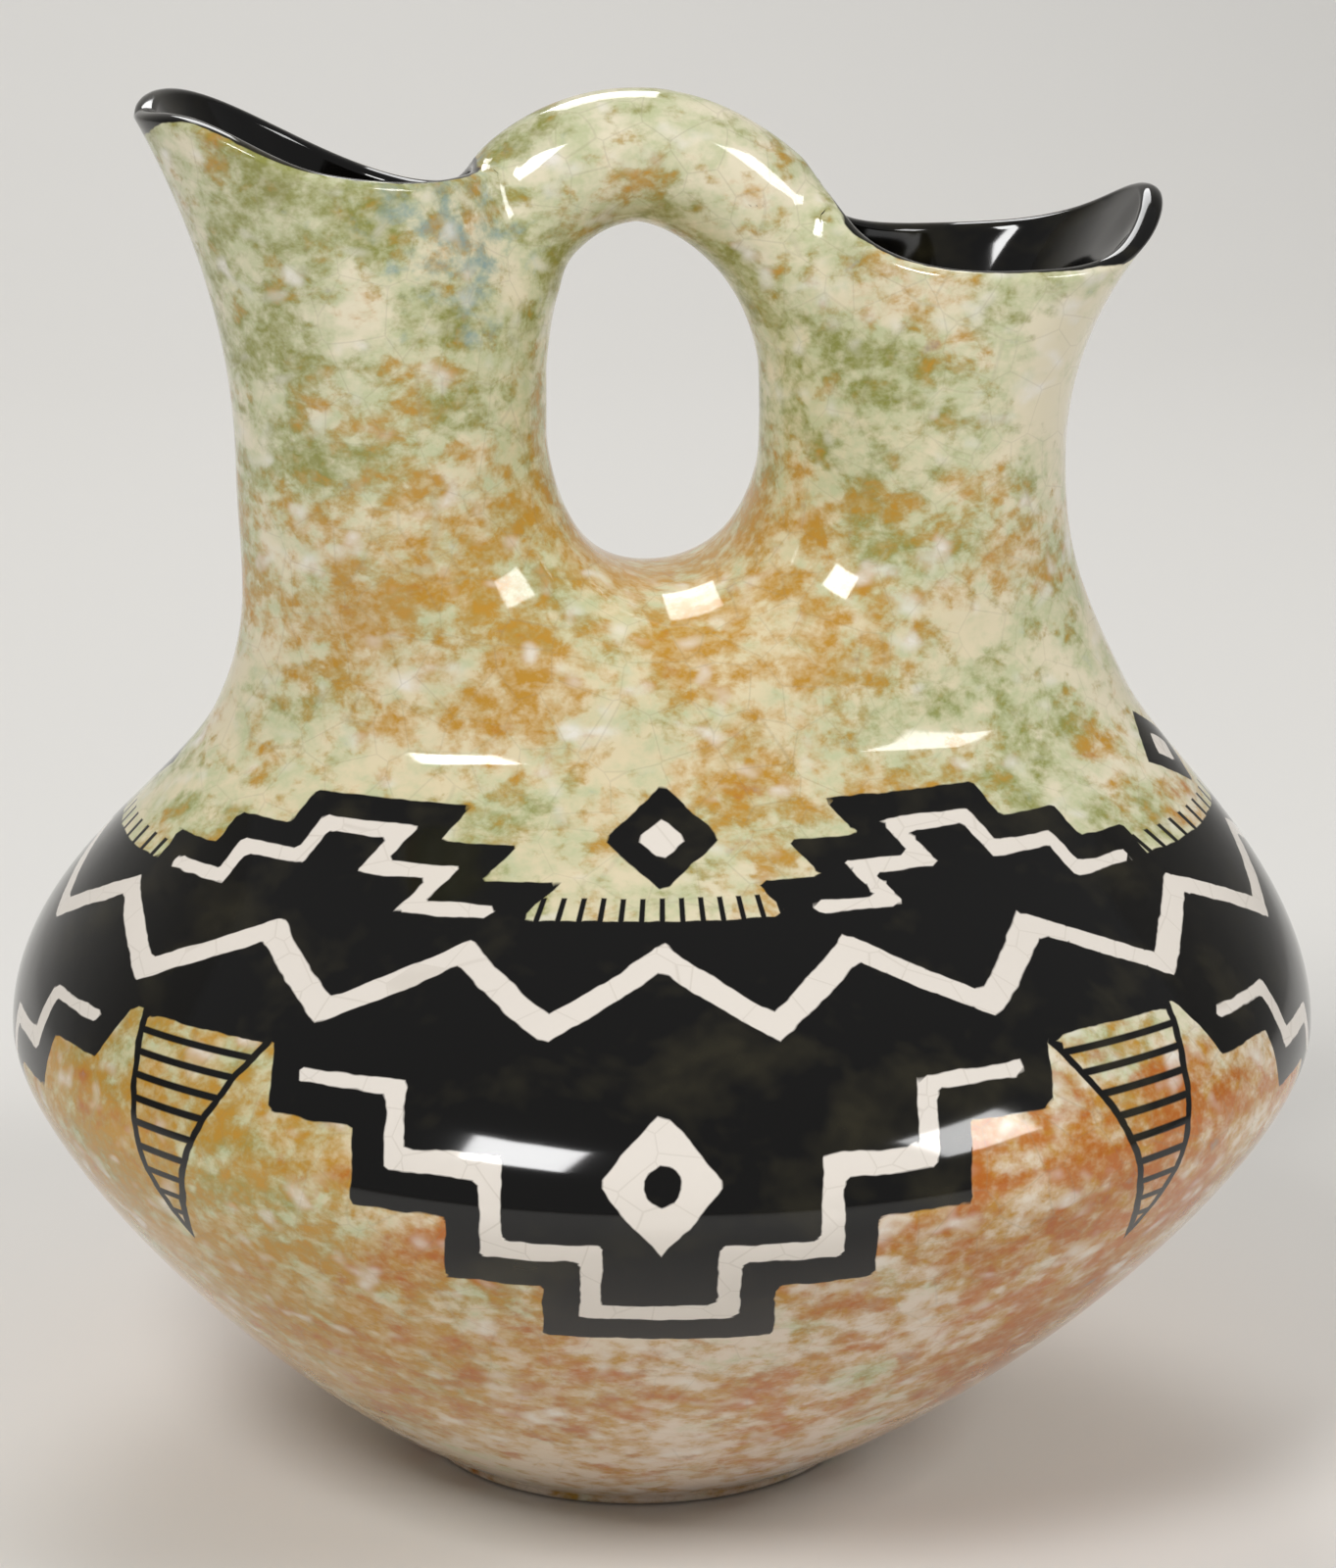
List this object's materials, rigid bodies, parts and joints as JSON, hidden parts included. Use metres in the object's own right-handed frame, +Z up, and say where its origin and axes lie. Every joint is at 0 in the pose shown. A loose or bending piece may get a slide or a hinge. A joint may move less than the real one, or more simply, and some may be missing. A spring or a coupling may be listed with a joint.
{
  "type": "wedding vase",
  "caption": "Squat ceramic wedding vase: a biconical belly, an oval neck parting into flared spouts of unlike height, and a coil handle bridging them.",
  "frame": {"origin": "on the plane the vase rests on, below the axis of the round belly", "axes": "+Z up, +X towards the lower spout, -Y towards the viewer of the front"},
  "size_m": [0.2, 0.2, 0.211],
  "materials": {
    "bare_clay": "bare fired clay below, glazed edge",
    "bowl_glaze": "glossy cream glaze sponged with ochre and orange, painted in black",
    "shoulder_glaze": "glossy cream glaze sponged with sage and ochre, painted in black",
    "spout_glaze": "glossy cream glaze sponged with sage green, black inside",
    "handle_glaze": "glossy cream glaze sponged with olive and ochre"
  },
  "bodies": {
    "root": {"base_disc": "bare_clay", "lower_bowl": "bowl_glaze", "shoulder": "shoulder_glaze", "left_spout": "spout_glaze", "right_spout": "spout_glaze", "handle": "handle_glaze"}
  },
  "joints": []
}
